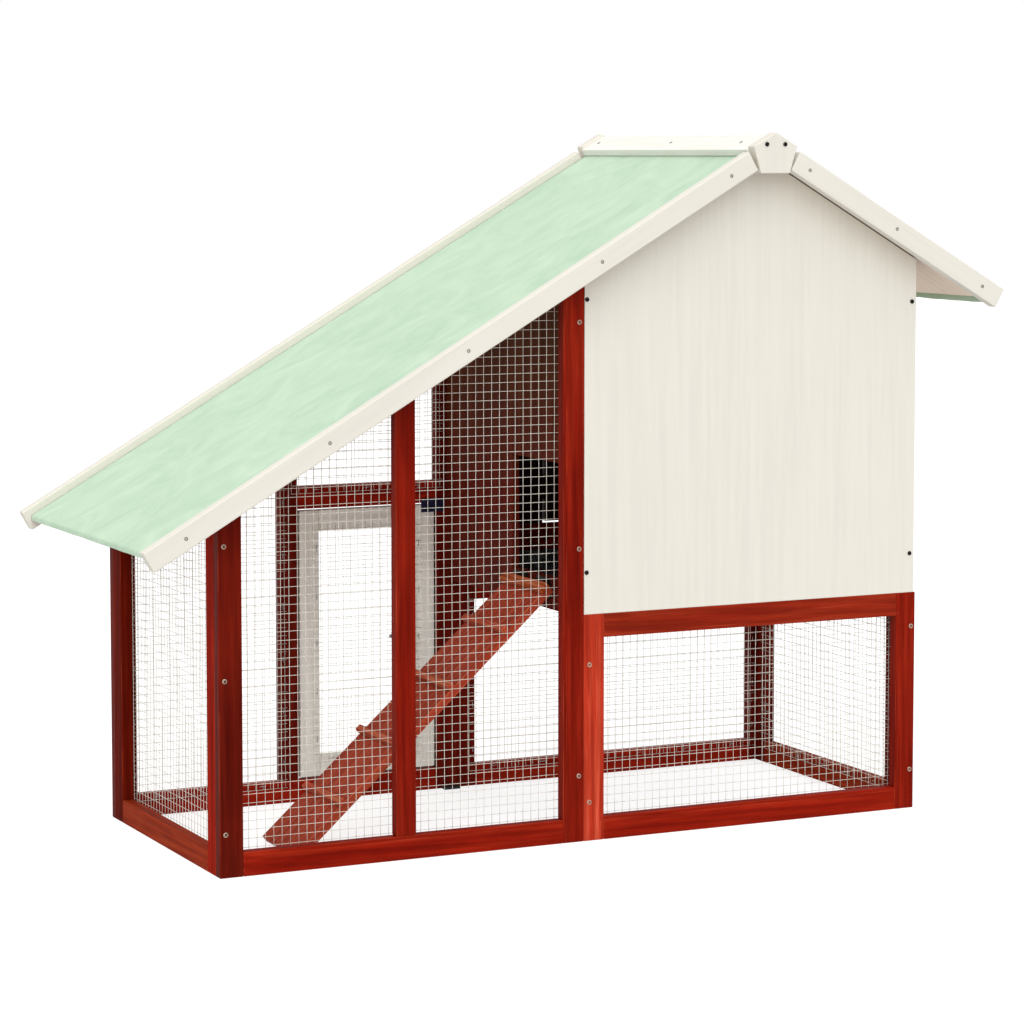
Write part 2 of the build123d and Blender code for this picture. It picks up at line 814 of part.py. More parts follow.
def bolt_rod(x_edge, z):
    """Sliding rod, drawn back, with its finger knob."""
    x0 = x_edge - 2.0 - BOLT_ROD_L
    y = bolt_axis_y()
    bar = rod(BOLT_ROD_R, (x0, y, z), (1, 0, 0), BOLT_ROD_L)
    knob_x = x0 + BOLT_ROD_L * 0.3
    neck = rod(2.0, (knob_x, y + 1.0, z), (0, 1, 0), 12.0)
    head = rod(4.0, (knob_x, y + 11.0, z), (0, 1, 0), 5.0)
    return bar + neck + eased(head, 1.5)


def bolt_keeper(x_edge, z):
    """Keeper on the post beside a door."""
    x0 = x_edge + DOOR_GAP + 2.0
    plate = bolt_base(x0, x0 + KEEPER_W, z)
    return plate + bolt_loop(x0 + 3.0, z, 0.5)


def latch_places():
    """Free edge X and height of the two doors' bolts."""
    _, run_x, run_z0, run_z1 = run_door_limits()
    _, house_x, house_z0, house_z1 = house_door_limits()
    return (run_x, (run_z0 + run_z1) / 2), (house_x, (house_z0 + house_z1) / 2)


# ---- ramp ----
def ramp_place():
    """Turns pieces laid out along -X from the hinge line down to the ramp's slope."""
    return Pos(RAMP_HEAD_X, 0, RAMP_TOP_Z) * Rot(0, -RAMP_DEG, 0)


def ramp_length():
    """Board length that leaves its lower end just clear of the ground."""
    drop = RAMP_TOP_Z - 0.4 - RAMP_T * cos(radians(RAMP_DEG))
    return drop / sin(radians(RAMP_DEG))


def ramp_board():
    y0, y1 = RAMP_Y
    board = eased(box(-ramp_length(), -RAMP_HEAD_TRIM, y0, y1, -RAMP_T, 0.0), 1.0)
    return ramp_place() * board


def cleat(x_middle, width):
    """Batten across the ramp, still level with the ramp's own frame."""
    y0 = RAMP_Y[0] - CLEAT_OVERHANG
    y1 = RAMP_Y[1] + CLEAT_OVERHANG
    return eased(box(x_middle - width / 2, x_middle + width / 2, y0, y1, 0.0, CLEAT_H))


def ramp_cleats():
    """Battens that the rabbit's feet grip; the one at the head covers the straps."""
    head = cleat(-RAMP_HEAD_TRIM - HEAD_CLEAT_W / 2, HEAD_CLEAT_W)
    for y0, y1 in strap_places():
        head = head - box(-STRAP_REACH - 1, 0, y0 - 0.5, y1 + 0.5, -1, STRAP_T + 0.2)
    cleats = [head] + [cleat(-share * ramp_length(), CLEAT_W) for share in CLEAT_SHARES]
    return group(*[ramp_place() * piece for piece in cleats])


def ramp_eye(y0, y1):
    """Eye of the ramp's hinge, along Y."""
    start = (RAMP_HEAD_X, y0, RAMP_TOP_Z + RAMP_PIN_RISE)
    return rod(HINGE_KNUCKLE_R, start, (0, 1, 0), y1 - y0)


def ramp_hinge_places():
    y0 = RAMP_Y[0] + RAMP_HINGE_INSET
    y1 = RAMP_Y[1] - RAMP_HINGE_INSET
    return (y0, y0 + RAMP_HINGE_W), (y1 - RAMP_HINGE_W, y1)


def strap_places():
    """Y limits of the moving eyes, between the fixed ones."""
    inset = RAMP_EYE_W + 0.4
    return [(y0 + inset, y1 - inset) for y0, y1 in ramp_hinge_places()]


def ramp_hinge_brackets():
    """Fixed eyes with their pins, screwed to the sill of the entrance."""
    brackets = []
    z_axis = RAMP_TOP_Z + RAMP_PIN_RISE
    for y0, y1 in ramp_hinge_places():
        pin = rod(HINGE_PIN_R, (RAMP_HEAD_X, y0, z_axis), (0, 1, 0), y1 - y0)
        solid = pin
        back_x = PARTITION_X - STRAP_T
        for a, b in ((y0, y0 + RAMP_EYE_W), (y1 - RAMP_EYE_W, y1)):
            arm = box(RAMP_HEAD_X, back_x, a, b, z_axis - 1.0, z_axis + 1.0)
            back = box(back_x, PARTITION_X, a, b, z_axis - 30.0, z_axis + 1.0)
            solid = solid + ramp_eye(a, b) + arm + back
        brackets.append(solid)
    return group(*brackets)


def ramp_hinge_straps():
    """Moving eyes on the head of the ramp."""
    straps = []
    z_axis = RAMP_TOP_Z + RAMP_PIN_RISE
    bore = HINGE_PIN_R + HINGE_CLEARANCE
    for y0, y1 in strap_places():
        plate = ramp_place() * box(-STRAP_REACH, RAMP_HEAD_TRIM, y0, y1, 0.0, STRAP_T)
        hole = rod(bore, (RAMP_HEAD_X, y0 - 1, z_axis), (0, 1, 0), y1 - y0 + 2)
        straps.append(plate + ramp_eye(y0, y1) - hole)
    return group(*straps)


# ---- fasteners ----
def screw(start, outward, head_r, head_t, shank_r, shank_l, ease):
    """Screw or bolt with its head just proud of a face at start."""
    inward = tuple(-part for part in outward)
    head = eased(rod(head_r, start, outward, head_t), ease)
    return head + rod(shank_r, start, inward, shank_l)


def frame_screws():
    """Screws of the two long sides, near the outer edges of their stiles."""
    screws = []
    rows = [
        (RUN_END_X + CORNER_SCREWS[0], CORNER_SCREWS[1]),
        (SEAM_X - SEAM_SCREWS[0], SEAM_SCREWS[1]),
        (SEAM_X + LOWER_LEFT_SCREWS[0], LOWER_LEFT_SCREWS[1]),
        (LOWER_END_X - LOWER_RIGHT_SCREWS[0], LOWER_RIGHT_SCREWS[1]),
    ]
    for side in (-1, 1):
        for x, heights in rows:
            for z in heights:
                start = (x, side * HALF_BODY, z)
                sizes = (SCREW_HEAD_R, SCREW_HEAD_T, SCREW_R, FRAME_SCREW_L)
                screws.append(screw(start, (0, side, 0), *sizes, 0.3))
    return group(*screws)


def barge_screws(side):
    """Screws through the barge boards of one long side."""
    xs = [LONG_BARGE_SCREW_X + LONG_BARGE_SCREW_PITCH * i for i in range(LONG_BARGE_SCREWS)]
    screws = []
    for x in xs + list(SHORT_BARGE_SCREWS_X):
        start = (x, side * (HALF_ROOF - BARGE_SETBACK), roof_z(x, BARGE_H / 2))
        sizes = (ROOF_SCREW_HEAD_R, SCREW_HEAD_T, SCREW_R, ROOF_SCREW_L)
        screws.append(screw(start, (0, side, 0), *sizes, 0.3))
    return screws


def plank_screws(side):
    """Screws along the middle of one ridge plank, square to the slope."""
    lean = radians(SLOPE_DEG)
    x = RIDGE_X + side * PLANK_W / 2 * cos(lean)
    sizes = (ROOF_SCREW_HEAD_R, SCREW_HEAD_T, SCREW_R, PLANK_SCREW_L)
    upward = (side * sin(lean), 0, cos(lean))
    return [screw((x, y, roof_z(x, 0)), upward, *sizes, 0.3) for y in PLANK_SCREWS_Y]


def roof_screws():
    screws = []
    for side in (-1, 1):
        screws += barge_screws(side) + plank_screws(side)
    return group(*screws)


def panel_bolts():
    """Black bolts of the house walls, above the tray front, and of the ridge end blocks."""
    walls = [(SEAM_X + LEFT_BOLTS[0], z) for z in LEFT_BOLTS[1]]
    walls += [(HOUSE_END_X - RIGHT_BOLTS[0], z) for z in RIGHT_BOLTS[1]]
    block_z = APEX_Z + BLOCK_RISE - BLOCK_BOLT_DROP
    blocks = [(RIDGE_X + offset, block_z) for offset in (-BLOCK_BOLT_X, BLOCK_BOLT_X)]
    head = (PANEL_BOLT_HEAD_R, PANEL_BOLT_HEAD_T, PANEL_BOLT_R)
    bolts = []
    for side in (-1, 1):
        outward = (0, side, 0)
        for x, z in walls:
            if side > 0:
                z = max(z, FRONT_BOLT_LOW_Z)
            bolts.append(screw((x, side * HALF_BODY, z), outward, *head, PANEL_BOLT_L, 1.0))
        for x, z in blocks:
            bolts.append(screw((x, side * HALF_ROOF, z), outward, *head, BLOCK_BOLT_L, 1.0))
    return group(*bolts)


def post_feet():
    """Small plastic feet at the inner side of the posts under the seam."""
    feet = []
    x1 = SEAM_X + 2.0
    for side in (-1, 1):
        y_out = side * (INNER_Y - FOOT_GAP)
        y_in = side * (INNER_Y - FOOT_GAP - FOOT_W)
        feet.append(eased(box(x1 - FOOT_L, x1, min(y_in, y_out), max(y_in, y_out), 0.0, FOOT_H)))
    return group(*feet)


def main():
    os.makedirs("parts", exist_ok=True)
    left_end_top = roof_z(RUN_END_X, ROOF_UNDER) - 1.0
    right_x = HOUSE_END_X - STICK_T
    run_latch, house_latch = latch_places()
    low_bay = (CORNER_RIGHT_X, MIDDLE_LEFT_X)
    high_bay = (MIDDLE_RIGHT_X, SEAM_LEFT_X)
    mesh_base = RAIL_H - MESH_LAP

    write("rear_corner_stile", corner_stile(-1))
    write("rear_middle_stile", middle_stile(-1))
    write("rear_house_stile", seam_stile(-1))
    write("rear_run_rails", group(*run_rails(-1)))
    write("rear_run_mesh", run_mesh(low_bay[0], high_bay[1], mesh_base, -1))
    write("rear_lower_stiles", lower_stiles(-1))
    write("rear_lower_rails", lower_rails(-1))
    write("rear_lower_mesh", lower_mesh(-1))
    write("rear_wall_panel", rear_wall_panel())

    write("left_end_stiles", end_stiles(RUN_END_X, left_end_top))
    write("left_end_rails", end_rails(RUN_END_X, left_end_top, RAIL_H))
    write("left_end_mesh", end_mesh(RUN_END_X + STICK_T, 1, left_end_top - RAIL_H))
    write("right_end_stiles", end_stiles(right_x, LOWER_H))
    write("right_end_rails", end_rails(right_x, LOWER_H, LOWER_TOP_RAIL_H))
    write("right_end_mesh", end_mesh(right_x, -1, LOWER_H - LOWER_TOP_RAIL_H))
    write("right_wall_panel", right_wall_panel())

    head_rail = rail(high_bay[0], high_bay[1], 1, HEAD_RAIL_Z, HEAD_RAIL_Z + RAIL_H)
    write("front_corner_stile", corner_stile(1))
    write("front_door_post", middle_stile(1))
    write("front_house_stile", seam_stile(1))
    write("front_run_rails", group(*run_rails(1)))
    write("front_head_rail", head_rail)
    write("front_side_mesh", run_mesh(low_bay[0], low_bay[1], mesh_base, 1))
    gable_base = HEAD_RAIL_Z + RAIL_H - MESH_LAP
    write("front_gable_mesh", run_mesh(high_bay[0], high_bay[1], gable_base, 1))
    write("front_lower_stiles", lower_stiles(1))
    write("front_lower_rails", lower_rails(1))
    write("front_lower_mesh", lower_mesh(1))
    write("front_wall_boards", front_wall_boards())
    write("house_corner_posts", house_corner_posts())
    write("partition_boards", partition_boards())
    write("house_floor", house_floor())
    write("post_feet", post_feet())

    write("roof_panel_long", roof_panel(-1))
    write("roof_panel_short", roof_panel(1))
    write("roof_felt_long", roof_felt(-1))
    write("roof_felt_short", roof_felt(1))
    write("barge_boards", barge_boards())
    write("ridge_beam", ridge_beam())
    write("ridge_cap_planks", ridge_cap_planks())
    write("ridge_end_blocks", ridge_end_blocks())

    write("run_door_frame", run_door_frame())
    write("run_door_mesh", run_door_mesh())
    write("run_door_hinge_leaves", run_door_hinge_leaves())
    write("run_door_bolt_plate", bolt_plate(*run_latch))
    write("run_door_bolt_rod", bolt_rod(*run_latch))
    write("house_door_panel", house_door_panel())
    write("house_door_hinge_leaves", house_door_hinge_leaves())
    write("house_door_bolt_plate", bolt_plate(*house_latch))
    write("house_door_bolt_rod", bolt_rod(*house_latch))
    write("hinge_post_leaves", hinge_post_leaves())
    write("bolt_keepers", group(bolt_keeper(*run_latch), bolt_keeper(*house_latch)))
    write("door_stop_plate", door_stop_plate())

    write("tray_pan", tray_pan())
    write("tray_front", tray_front())
    write("ramp_board", ramp_board())
    write("ramp_cleats", ramp_cleats())
    write("ramp_hinge_straps", ramp_hinge_straps())
    write("ramp_hinge_brackets", ramp_hinge_brackets())

    write("frame_screws", frame_screws())
    write("roof_screws", roof_screws())
    write("panel_bolts", panel_bolts())


main()
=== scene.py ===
import math
import random

import bmesh
import bpy
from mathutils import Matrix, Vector, noise


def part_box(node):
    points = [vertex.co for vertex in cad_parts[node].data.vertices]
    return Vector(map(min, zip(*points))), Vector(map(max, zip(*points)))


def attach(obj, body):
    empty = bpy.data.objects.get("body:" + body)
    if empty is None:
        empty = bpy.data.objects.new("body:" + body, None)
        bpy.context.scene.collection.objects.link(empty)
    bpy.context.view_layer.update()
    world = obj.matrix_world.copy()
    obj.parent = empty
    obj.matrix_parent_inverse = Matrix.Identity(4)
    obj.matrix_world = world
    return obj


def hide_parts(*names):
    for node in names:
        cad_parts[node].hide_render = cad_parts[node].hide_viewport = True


# Looks of the rabbit hutch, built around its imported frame. Metres, +X along
# the hutch from the run to the house, +Y to the side with the doors, +Z up.

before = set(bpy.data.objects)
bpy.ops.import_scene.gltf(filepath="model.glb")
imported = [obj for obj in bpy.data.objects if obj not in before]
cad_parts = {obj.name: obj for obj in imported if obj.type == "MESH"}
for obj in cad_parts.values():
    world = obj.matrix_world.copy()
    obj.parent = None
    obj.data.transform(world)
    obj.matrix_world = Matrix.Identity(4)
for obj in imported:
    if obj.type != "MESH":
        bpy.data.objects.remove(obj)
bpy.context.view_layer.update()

# ---- sizes taken from the frame ----
MM = 0.001
SLOPE = math.radians(30.0)
RISE = math.tan(SLOPE)
UP = Vector((0, 0, 1))
plank_low, plank_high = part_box("ridge_cap_planks")
RIDGE_X = (plank_low.x + plank_high.x) / 2
APEX_Z = plank_high.z
OUTER_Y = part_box("front_corner_stile")[1].y
ramp_low, ramp_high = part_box("ramp_board")
RAMP_LEAN = math.atan2(ramp_high.z - ramp_low.z, ramp_high.x - ramp_low.x)

WIRE_R = 0.4 * MM
MESH_PITCH = 12.7 * MM
WIRE_STEP = 3 * MESH_PITCH
WIRE_BULGE = 1.4 * MM
WIRE_SWAY = 0.45 * MM
UPPER_WIRE_DEPTH = 2.7 * WIRE_R

STAPLE_PITCH = 90.0 * MM
STAPLE_WIRE_R = 0.55 * MM
STAPLE_HALF_W = 4.5 * MM
STAPLE_LEG = 4.0 * MM
STAPLE_CROWN = 0.2 * MM
STAPLE_SHOULDER = 0.6 * MM
STAPLE_EDGE_GAP = 6.0 * MM

HINGE_LEAF_T = 1.5 * MM
LEAF_SCREW_INSET = 5.5 * MM
LEAF_SCREW_STEP = 14.5 * MM
PLATE_SCREW_INSET = 3.6 * MM
PLATE_SCREW_R = 2.6 * MM
SCREW_DOME = 0.9 * MM
BOLT_DOME = 2.4 * MM
SHANK_R = 1.5 * MM
SHANK_DEPTH = 9 * MM
HEAD_SEGMENTS = 24

DOOR_MEMBER_W = 33 * MM
DOOR_ARRIS = 1.6 * MM
BOARD_ARRIS = 0.8 * MM

PLANK_T = 11.0 * MM
FELT_T = 1.5 * MM
FELT_DEPTH = PLANK_T + FELT_T / 2
FELT_BEND_R = 3.5 * MM
FELT_COLUMNS = 84
FELT_ROWS = 96

# Where a wall turns from its very dark inside, a stain made dark as painted shade of the closed house, to
# paint, just under its outer face.
WALL_FACE_Y = (OUTER_Y - 2.5 * MM, OUTER_Y - 1.5 * MM)
END_WALL_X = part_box("right_wall_panel")[1].x
END_WALL_FACE_X = (END_WALL_X - 2.0 * MM, END_WALL_X - 1.0 * MM)


# ---- materials ----
def tone(red, green, blue):
    """Linear colour of a screen colour given from 0 to 255."""
    shares = (red / 255, green / 255, blue / 255)
    return tuple(s / 12.92 if s <= 0.04045 else ((s + 0.055) / 1.055) ** 2.4 for s in shares) + (1.0,)


def tones(*colours):
    return tuple(tone(*colour) for colour in colours)


CREAM = tones((213, 208, 198), (215, 211, 200), (217, 213, 203))
# Very dark tones of the house's inside: a dark stain, made darker still to paint in the shade of the closed
# house.
INNER_STAIN_AND_SHADE = tones((38, 18, 14), (48, 23, 17), (60, 30, 22))


class Shader:
    """One procedural material, built node by node."""

    def __init__(self, name):
        self.material = bpy.data.materials.new(name)
        self.material.use_nodes = True
        self.tree = self.material.node_tree
        self.surface = self.tree.nodes["Principled BSDF"]
        self.coordinates = self.node("TexCoord")
        self.place = self.coordinates.outputs["Object"]

    def node(self, kind, inputs=None, **settings):
        made = self.tree.nodes.new("ShaderNode" + kind)
        for key, value in settings.items():
            setattr(made, key, value)
        for key, value in (inputs or {}).items():
            self.feed(made.inputs[key], value)
        return made

    def feed(self, socket, value):
        if isinstance(value, bpy.types.NodeSocket):
            self.tree.links.new(value, socket)
        else:
            socket.default_value = value

    def set(self, **values):
        """Sets the surface's sockets, with underscores for spaces in their names."""
        for key, value in values.items():
            self.feed(self.surface.inputs[key.replace("_", " ")], value)

    def maths(self, operation, *values, clamp=False):
        inputs = dict(enumerate(values))
        return self.node("Math", inputs, operation=operation, use_clamp=clamp).outputs[0]

    def noise(self, vector, scale, detail=3.0, roughness=0.5, distortion=0.0):
        inputs = {"Vector": vector, "Scale": scale, "Detail": detail}
        inputs.update({"Roughness": roughness, "Distortion": distortion})
        return self.node("TexNoise", inputs).outputs["Fac"]

    def spread(self, value, low, high, to_low=0.0, to_high=1.0):
        """Stretches the range low..high of a value to to_low..to_high, clamped."""
        inputs = {"Value": value, "From Min": low, "From Max": high}
        inputs.update({"To Min": to_low, "To Max": to_high})
        return self.node("MapRange", inputs).outputs[0]

    def ramp(self, value, *stops):
        made = self.node("ValToRGB", {"Fac": value})
        band = made.color_ramp
        while len(band.elements) < len(stops):
            band.elements.new(0.5)
        for element, (position, colour) in zip(band.elements, stops):
            element.position = position
            element.color = colour
        return made.outputs["Color"]

    def mix(self, share, first, second, blend="MIX"):
        made = self.node("Mix", data_type="RGBA", blend_type=blend)
        self.feed(made.inputs[0], share)
        self.feed(made.inputs[6], first)
        self.feed(made.inputs[7], second)
        return made.outputs[2]

    def shade(self, colour, low, high, value):
        """Colour times a grey that follows value from low to high."""
        grey = self.spread(value, 0.25, 0.75, low, high)
        return self.mix(1.0, colour, grey, "MULTIPLY")

    def bump(self, height, distance, strength=1.0):
        inputs = {"Height": height, "Distance": distance, "Strength": strength}
        return self.node("Bump", inputs).outputs["Normal"]

    def grain_space(self, axis, squeeze):
        """Object space squeezed along the grain. Axis may also be slope or ramp."""
        place = self.place
        along = axis
        if axis in ("slope", "ramp"):
            along = "x"
            lean = -SLOPE
            if axis == "ramp":
                lean = RAMP_LEAN
            else:
                parts = self.node("SeparateXYZ", {0: place}).outputs
                away = self.maths("ABSOLUTE", self.maths("SUBTRACT", parts[0], RIDGE_X))
                place = self.node("CombineXYZ", {0: away, 1: parts[1], 2: parts[2]}).outputs[0]
            turned = self.node("Mapping", {"Vector": place, "Rotation": (0, lean, 0)})
            place = turned.outputs[0]
        scale = [1.0, 1.0, 1.0]
        scale["xyz".index(along)] = squeeze
        return self.node("Mapping", {"Vector": place, "Scale": scale}).outputs[0]

    def along(self, direction, first, last):
        """Share from 0 to 1 between two places along x, y or z, or away from y = 0."""
        parts = self.node("SeparateXYZ", {0: self.place}).outputs
        place = parts["xyz".index(direction[-1])]
        if direction == "away_y":
            place = self.maths("ABSOLUTE", place)
        return self.spread(place, first, last)

    def edges(self, square):
        """Share from 0 to 1 that rises where a planed edge turns away from its faces.

        Square pieces have faces along all three axes. The others lie on the
        slope, so only the turn towards y tells their edges from their faces.
        """
        normal = self.coordinates.outputs["Normal"]
        turned = self.node("VectorMath", {0: normal}, operation="ABSOLUTE").outputs[0]
        x, y, z = self.node("SeparateXYZ", {0: turned}).outputs
        if square:
            largest = self.maths("MAXIMUM", self.maths("MAXIMUM", x, y), z)
            return self.spread(largest, 0.99, 0.8)
        return self.spread(self.maths("MULTIPLY", y, self.maths("SUBTRACT", 1.0, y)), 0.02, 0.2)


def wood(name, axis, colours, rings, fibre, cloud, rough, level, wear_and_highlight=None, relief=0.25, change=None):
    """Wood or paint over wood, with its grain along axis.

    rings, fibre and cloud are how much the bands, fibres and patches change
    its brightness; the colour given for its edges is wear, and on the red
    stains, which get lighter edges, also a painted highlight where the rounded
    edges catch the light; relief is its bump in millimetres. change gives a
    direction, two places along it and three tones: the wood turns from its own
    tones at the first place to those tones at the second.
    """
    shader = Shader(f"{name}_{axis}")
    space = shader.grain_space(axis, 0.04)
    streaks = shader.noise(space, 95.0, 3.0, 0.6, 0.4)
    fibres = shader.noise(space, 700.0, 3.0, 0.65)
    bands = shader.node("TexWave", {
        "Vector": space,
        "Scale": 42.0,
        "Distortion": 9.0,
        "Detail": 2.0,
        "Detail Scale": 0.45,
    }, bands_direction="DIAGONAL").outputs["Fac"]
    patch = shader.noise(shader.place, 7.0, 3.0, 0.6)
    dark, middle, light = colours
    colour = shader.ramp(streaks, (0.3, dark), (0.5, middle), (0.72, light))
    if change:
        direction, first, last, others = change
        far = shader.ramp(streaks, (0.3, others[0]), (0.5, others[1]), (0.72, others[2]))
        colour = shader.mix(shader.along(direction, first, last), colour, far)
    colour = shader.shade(colour, 1.0 - rings, 1.0, shader.maths("SUBTRACT", 1.0, bands))
    colour = shader.shade(colour, 1.0 - fibre, 1.0 + fibre, fibres)
    colour = shader.shade(colour, 1.0 - cloud, 1.0 + cloud, patch)
    if wear_and_highlight:
        # Edge colour where the patches allow: wear, and on the red stains also a painted highlight of the
        # rounded edges.
        wear_and_highlight_patches = shader.spread(shader.noise(space, 260.0, 2.0), 0.4, 0.68, 0.0, 0.8)
        share = shader.maths("MULTIPLY", shader.edges(axis in "xyz"), wear_and_highlight_patches)
        colour = shader.mix(share, colour, wear_and_highlight)
    height = shader.maths("ADD", fibres, shader.maths("MULTIPLY", bands, 0.6))
    gloss = shader.spread(fibres, 0.3, 0.7, rough - 0.07, rough + 0.09)
    shader.set(Base_Color=colour, Roughness=gloss, Specular_IOR_Level=level)
    shader.set(Normal=shader.bump(height, relief * MM))
    return shader.material


def red_stain(axis, name="red_stain", shade=1.0, change=None, level=0.03):
    """Translucent red stain; shade makes it lighter or darker, as another tone of the stain or, for the
    sticks seen from inside the hutch, as painted shade.
    """
    plain = ((118, 17, 5), (134, 25, 9), (154, 37, 17))
    shaded = tones(*([part * shade for part in parts] for parts in plain))
    # Its lighter edge colour is wear and a painted highlight on the rounded edges.
    return wood(name, axis, shaded, rings=0.16, fibre=0.16, cloud=0.16, rough=0.45, level=level,
                wear_and_highlight=tone(178, 64, 40), change=change)


def warm_stain(axis):
    """The same stain where it turned out more orange."""
    colours = tones((126, 34, 13), (141, 45, 18), (161, 61, 32))
    # Its lighter edge colour is wear and a painted highlight on the rounded edges.
    return wood("warm_stain", axis, colours, rings=0.16, fibre=0.16, cloud=0.16, rough=0.45, level=0.01,
                wear_and_highlight=tone(178, 72, 44))


def cream_paint(axis):
    return wood("cream_paint", axis, CREAM, rings=0.005, fibre=0.006, cloud=0.012, rough=0.55, level=0.25,
                wear_and_highlight=tone(220, 211, 193), relief=0.1)


def ridge_paint(axis):
    colours = tones((225, 225, 218), (228, 228, 221), (231, 231, 225))
    return wood("ridge_paint", axis, colours, rings=0.006, fibre=0.006, cloud=0.012, rough=0.55, level=0.25,
                wear_and_highlight=tone(222, 215, 200), relief=0.1)


def wall_paint(name, direction, inner, outer):
    """Cream paint on a house wall's outer face; inside, the wall has a dark stain, made very dark as
    painted shade of the closed house.
    """
    return wood(name, "z", INNER_STAIN_AND_SHADE, rings=0.005, fibre=0.006, cloud=0.012, rough=0.55, level=0.25,
                relief=0.1, change=(direction, inner, outer, CREAM))


def grey_paint(axis):
    colours = tones((222, 218, 208), (232, 228, 219), (238, 235, 227))
    return wood("grey_paint", axis, colours, rings=0.06, fibre=0.05, cloud=0.04, rough=0.6, level=0.25,
                wear_and_highlight=tone(190, 180, 165), relief=0.2)


def brown_stain(axis):
    """Matt red-brown stain that is more olive high up."""
    colours = tones((84, 25, 17), (96, 30, 20), (108, 38, 25))
    upper = tones((76, 42, 22), (86, 50, 27), (98, 60, 34))
    return wood("brown_stain", axis, colours, rings=0.04, fibre=0.1, cloud=0.22, rough=0.6, level=0.03,
                relief=0.2, change=("z", 0.5, 0.75, upper))


# Dark stain of the floor, posts and ridge beam inside, made very dark as painted shade.
def inner_shade_stain(axis):
    return wood("inner_shade_stain", axis, INNER_STAIN_AND_SHADE, rings=0.1, fibre=0.12, cloud=0.2, rough=0.7, level=0.02,
                relief=0.2)


def soffit_paint(axis):
    colours = tones((232, 212, 194), (238, 220, 203), (244, 228, 212))
    return wood("soffit_paint", axis, colours, rings=0.02, fibre=0.02, cloud=0.04, rough=0.6, level=0.1,
                relief=0.1)


def ramp_stain(axis):
    """Salmon stain of the ramp; its head cleat, at the top of the cleats, is more orange."""
    colours = tones((142, 50, 32), (163, 62, 40), (185, 82, 54))
    head = tones((142, 54, 16), (156, 66, 22), (172, 82, 34))
    change = ("z", 0.355, 0.365, head) if axis == "y" else None
    return wood("ramp_stain", axis, colours, rings=0.16, fibre=0.18, cloud=0.1, rough=0.55, level=0.05,
                wear_and_highlight=tone(206, 124, 88), change=change)


def felt_material():
    """Mineral felt: mint green, cloudy, with brushed streaks and a fine grit."""
    shader = Shader("green_felt")
    across = shader.grain_space("slope", 0.8)
    clouds = shader.noise(across, 12.0, 5.0, 0.6, 1.2)
    brushed = shader.noise(shader.grain_space("slope", 0.3), 60.0, 3.0, 0.55, 0.8)
    grit = shader.noise(shader.place, 1500.0, 2.0, 0.6)
    colour = shader.ramp(
        clouds,
        (0.3, tone(171, 197, 172)),
        (0.5, tone(180, 204, 179)),
        (0.7, tone(190, 211, 187)),
    )
    pale = shader.mix(shader.spread(brushed, 0.5, 0.75, 0.0, 0.3), colour, tone(196, 215, 192))
    pale = shader.shade(pale, 0.97, 1.025, grit)
    height = shader.maths("ADD", grit, shader.maths("MULTIPLY", brushed, 2.0))
    shader.set(Base_Color=pale, Roughness=0.88, Specular_IOR_Level=0.15, Sheen_Weight=0.08)
    shader.set(Normal=shader.bump(height, 0.3 * MM))
    return shader.material


def metal(name, dark, light, rough, metallic, scale, relief=0.03):
    """Metal with patches of two tones and an uneven gloss."""
    shader = Shader(name)
    patch = shader.noise(shader.place, scale, 3.0, 0.6)
    fine = shader.noise(shader.place, scale * 9, 2.0, 0.6)
    colour = shader.ramp(patch, (0.35, dark), (0.65, light))
    shader.set(Base_Color=shader.shade(colour, 0.86, 1.08, fine))
    shader.set(Roughness=shader.spread(patch, 0.3, 0.7, rough - 0.08, rough + 0.12))
    shader.set(Metallic=metallic, Normal=shader.bump(fine, relief * MM))
    return shader.material


def plastic(name, dark, light, rough):
    """Moulded plastic with a faint texture and scuffs."""
    shader = Shader(name)
    scuff = shader.noise(shader.place, 60.0, 4.0, 0.65)
    grain = shader.noise(shader.place, 1800.0, 2.0, 0.5)
    shader.set(Base_Color=shader.ramp(scuff, (0.35, dark), (0.7, light)))
    shader.set(Roughness=shader.spread(scuff, 0.3, 0.7, rough - 0.08, rough + 0.12))
    shader.set(Specular_IOR_Level=0.35, Normal=shader.bump(grain, 0.05 * MM))
    return shader.material


# ---- mesh building ----
class Solid:
    """Points and faces gathered for one mesh object."""

    def __init__(self):
        self.points = []
        self.faces = []

    def tube(self, path, radius, first, second, sides=6):
        """Round wire along path, with its section in the plane of first and second."""
        start = len(self.points)
        for centre in path:
            for side in range(sides):
                turn = 2 * math.pi * side / sides
                spoke = first * math.cos(turn) + second * math.sin(turn)
                self.points.append(centre + spoke * radius)
        last = start + (len(path) - 1) * sides
        for ring in range(start, last, sides):
            for side in range(sides):
                after = (side + 1) % sides
                self.faces.append((ring + side, ring + after, ring + sides + after, ring + sides + side))
        self.faces.append(tuple(start + side for side in reversed(range(sides))))
        self.faces.append(tuple(last + side for side in range(sides)))

    def piece(self, name, material, body, slot, smooth=True):
        mesh = bpy.data.meshes.new(name)
        mesh.from_pydata([tuple(p) for p in self.points], [], self.faces)
        work = bmesh.new()
        work.from_mesh(mesh)
        bmesh.ops.recalc_face_normals(work, faces=work.faces)
        work.to_mesh(mesh)
        work.free()
        return add_piece(name, mesh, material, body, smooth)


def add_piece(name, mesh, material, body, smooth=True):
    """Puts a finished mesh in the scene, on its body."""
    made = bpy.data.objects.new(name, mesh)
    bpy.context.scene.collection.objects.link(made)
    mesh.materials.append(material)
    for polygon in mesh.polygons:
        polygon.use_smooth = smooth
    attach(made, body)
    return made


def apply_modifiers(made):
    """Turns an object's modifiers into its mesh."""
    graph = bpy.context.evaluated_depsgraph_get()
    mesh = bpy.data.meshes.new_from_object(made.evaluated_get(graph))
    made.modifiers.clear()
    made.data = mesh


